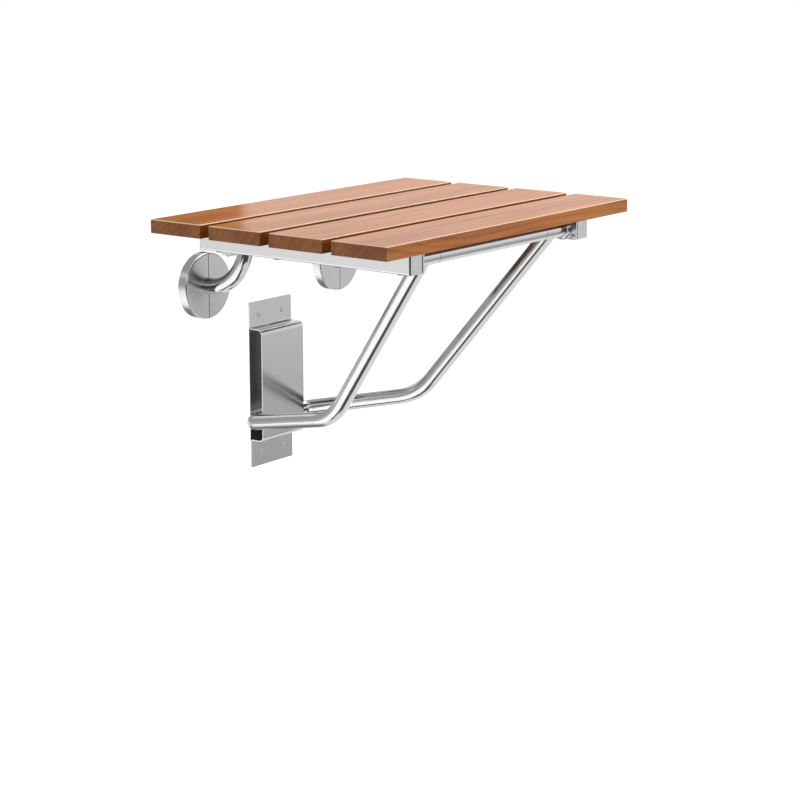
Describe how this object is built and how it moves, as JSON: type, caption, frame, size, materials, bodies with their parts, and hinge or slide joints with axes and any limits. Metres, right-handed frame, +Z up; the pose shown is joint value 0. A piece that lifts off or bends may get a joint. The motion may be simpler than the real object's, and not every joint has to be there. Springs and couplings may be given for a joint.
{
  "type": "fold down wall seat",
  "caption": "Wall-mounted folding seat of wooden slats on steel rails, hinged on bent wall arms and propped by a bent tube frame whose foot slides in a wall bracket.",
  "frame": {"origin": "centre of the wall bracket's four screws, on the wall plane", "axes": "+X along the slats, +Y into the wall, +Z up; the seat reaches towards -Y"},
  "size_m": [0.508, 0.3909, 0.3575],
  "materials": {
    "wood": "sealed, satin",
    "tube_steel": "polished",
    "rail_steel": "satin",
    "rail_cap": "satin",
    "sheet_steel": "brushed",
    "cover_steel": "polished",
    "plate_steel": "satin",
    "pivot_steel": "satin",
    "screw_steel": "plain",
    "rubber": "matte",
    "nylon": "matte"
  },
  "bodies": {
    "wall_frame": {"bracket_back_plate": "sheet_steel", "flange_cover_inner_left": "cover_steel", "flange_cover_inner_right": "cover_steel", "flange_cover_outer_left": "cover_steel", "flange_cover_outer_right": "cover_steel", "flange_plate_left": "plate_steel", "flange_plate_right": "plate_steel", "hinge_bush_left": "nylon", "hinge_bush_right": "nylon", "hinge_tube": "tube_steel", "rest_block": "rubber", "wall_arm_left": "tube_steel", "wall_arm_right": "tube_steel", "wall_bracket": "sheet_steel"},
    "seat": {"front_pivot_left": "pivot_steel", "front_pivot_right": "pivot_steel", "pivot_screws": "screw_steel", "rail_cap_front_left": "rail_cap", "rail_cap_front_right": "rail_cap", "rail_cap_rear_left": "rail_cap", "rail_cap_rear_right": "rail_cap", "rail_left": "rail_steel", "rail_right": "rail_steel", "rear_pivot_left": "pivot_steel", "rear_pivot_right": "pivot_steel", "slat_1": "wood", "slat_2": "wood", "slat_3": "wood", "slat_4": "wood", "slat_screws": "screw_steel"},
    "leg_frame": {"cross_tube": "tube_steel", "leg_left": "tube_steel", "leg_right": "tube_steel", "pivot_stub_left": "tube_steel", "pivot_stub_right": "tube_steel"},
    "slide_bar": {"slide_bar": "tube_steel"}
  },
  "joints": [
    {"name": "seat_fold", "type": "hinge", "parent": "wall_frame", "child": "seat", "pos_m": [0, -0.071, 0.203], "axis": [-1, 0, 0], "range_deg": [0, 85]},
    {"name": "leg_fold", "type": "hinge", "parent": "seat", "child": "leg_frame", "pos_m": [0, -0.3526, 0.216], "axis": [1, 0, 0], "range_deg": [0, 42.1]},
    {"name": "bar_slide", "type": "slide", "parent": "wall_frame", "child": "slide_bar", "axis": [0, 0, 1], "range_m": [0, 0.1063]}
  ],
  "couplings": [
    {"joint": "leg_fold", "follows": "seat_fold", "ratio": 0.49476},
    {"joint": "bar_slide", "follows": "seat_fold", "m_per_rad": 0.071617}
  ]
}
